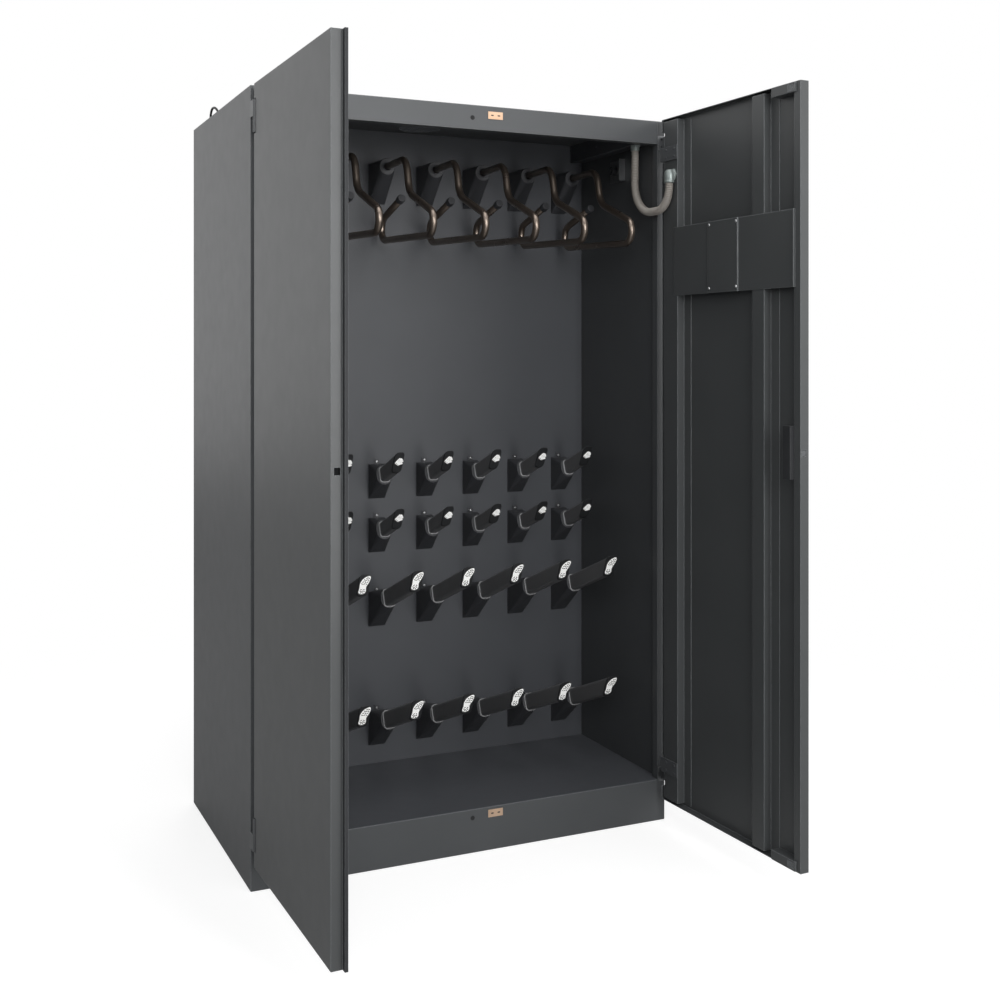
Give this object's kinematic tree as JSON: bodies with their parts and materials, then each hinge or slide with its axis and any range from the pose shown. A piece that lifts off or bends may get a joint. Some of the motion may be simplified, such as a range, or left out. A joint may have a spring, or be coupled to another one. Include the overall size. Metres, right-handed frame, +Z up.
{
  "type": "drying cabinet",
  "caption": "Free-standing two-door drying cabinet with air-fed hangers and heated glove and boot tubes.",
  "frame": {"origin": "centre of the cabinet's footprint, on the floor under the base frame", "axes": "+Z up, +X to the right seen from the front, +Y to the back; the doors are drawn open"},
  "size_m": [1.2566, 1.34, 2.0539],
  "materials": {
    "shell_paint": "fine-textured anthracite powder coat",
    "inner_paint": "fine-textured powder coat, a little bluer inside",
    "door_paint": "fine-textured anthracite powder coat",
    "sensor_plastic": "matt moulded plastic",
    "keeper_brass": "copper-toned passivated plate",
    "buffer_rubber": "matt rubber",
    "hinge_steel": "zinc-plated steel",
    "hanger_metal": "champagne-bronze anodised tube",
    "socket_plastic": "black moulded plastic",
    "tube_plastic": "dark grey moulded plastic",
    "cap_plastic": "black moulded plastic",
    "mark_white": "white raised mark",
    "filter_fleece": "fleece in a folded frame",
    "fan_zinc": "galvanised sheet",
    "motor_paint": "cast grey enamel",
    "box_plastic": "grey moulded box",
    "cable_black": "black flexible sheath",
    "conduit_plastic": "pale corrugated plastic",
    "gland_nickel": "nickel-plated",
    "touch_gloss": "glossy black front",
    "lock_zinc": "zinc-plated case",
    "lever_paint": "satin dark enamel"
  },
  "bodies": {
    "cabinet": {"base_frame": "shell_paint", "left_side_panel": "shell_paint", "right_side_panel": "shell_paint", "roof_panel": "shell_paint", "rear_panel": "shell_paint", "header_rail": "shell_paint", "floor_tray": "inner_paint", "air_wall": "inner_paint", "cable_duct": "inner_paint", "sensor_bracket": "inner_paint", "humidity_sensor": "sensor_plastic", "keeper_plates": "keeper_brass", "door_buffers": "buffer_rubber", "left_frame_hinges": "hinge_steel", "right_frame_hinges": "hinge_steel", "hanger_1": "hanger_metal", "hanger_2": "hanger_metal", "hanger_3": "hanger_metal", "hanger_4": "hanger_metal", "hanger_5": "hanger_metal", "hanger_6": "hanger_metal", "hanger_7": "hanger_metal", "hanger_end_caps": "socket_plastic", "hanger_sockets": "socket_plastic", "glove_sockets": "socket_plastic", "boot_sockets": "socket_plastic", "glove_tubes": "tube_plastic", "boot_tubes": "tube_plastic", "glove_tube_caps": "cap_plastic", "boot_tube_caps": "cap_plastic", "glove_marks": "mark_white", "boot_marks": "mark_white", "socket_screws": "hinge_steel", "intake_filter": "filter_fleece", "fan_scroll": "fan_zinc", "fan_motor": "motor_paint", "air_heater": "fan_zinc", "control_box": "box_plastic", "exhaust_spigot": "shell_paint", "mains_gland": "cable_black", "mains_lead": "cable_black", "mains_coil": "cable_black", "mains_plug": "cable_black", "door_conduit": "conduit_plastic", "duct_gland": "gland_nickel"},
    "left_door": {"left_door_panel": "door_paint", "left_door_stiffeners": "door_paint", "left_door_lip": "door_paint", "left_door_hinges": "door_paint"},
    "right_door": {"right_door_panel": "door_paint", "right_door_stiffeners": "door_paint", "right_door_hinges": "door_paint", "door_gland": "gland_nickel", "panel_cover": "door_paint", "touch_panel": "touch_gloss", "lock_case": "lock_zinc", "door_catches": "door_paint"},
    "lever": {"lever_handle": "lever_paint"},
    "bolt": {"latch_bolt": "hinge_steel"},
    "rotor": {"fan_rotor": "fan_zinc"}
  },
  "joints": [
    {"name": "left_door_hinge", "type": "hinge", "parent": "cabinet", "child": "left_door", "pos_m": [-0.596, -0.382, 0], "axis": [0, 0, -1], "range_deg": [-89, 21]},
    {"name": "right_door_hinge", "type": "hinge", "parent": "cabinet", "child": "right_door", "pos_m": [0.596, -0.382, 0], "axis": [0, 0, 1], "range_deg": [-92, 18], "deforming": ["door_conduit"]},
    {"name": "handle_turn", "type": "hinge", "parent": "right_door", "child": "lever", "pos_m": [0.61537, -0.93666, 1.092], "axis": [-0.9994, -0.0349, 0], "range_deg": [0, 90]},
    {"name": "latch_slide", "type": "slide", "parent": "right_door", "child": "bolt", "axis": [0.0349, -0.9994, 0], "range_m": [0, 0.009]},
    {"name": "fan_spin", "type": "hinge", "parent": "cabinet", "child": "rotor", "pos_m": [0, 0.25, 1.15], "axis": [0, 1, 0], "continuous": true}
  ],
  "couplings": [
    {"joint": "latch_slide", "follows": "handle_turn", "m_per_rad": 0.0057295}
  ]
}
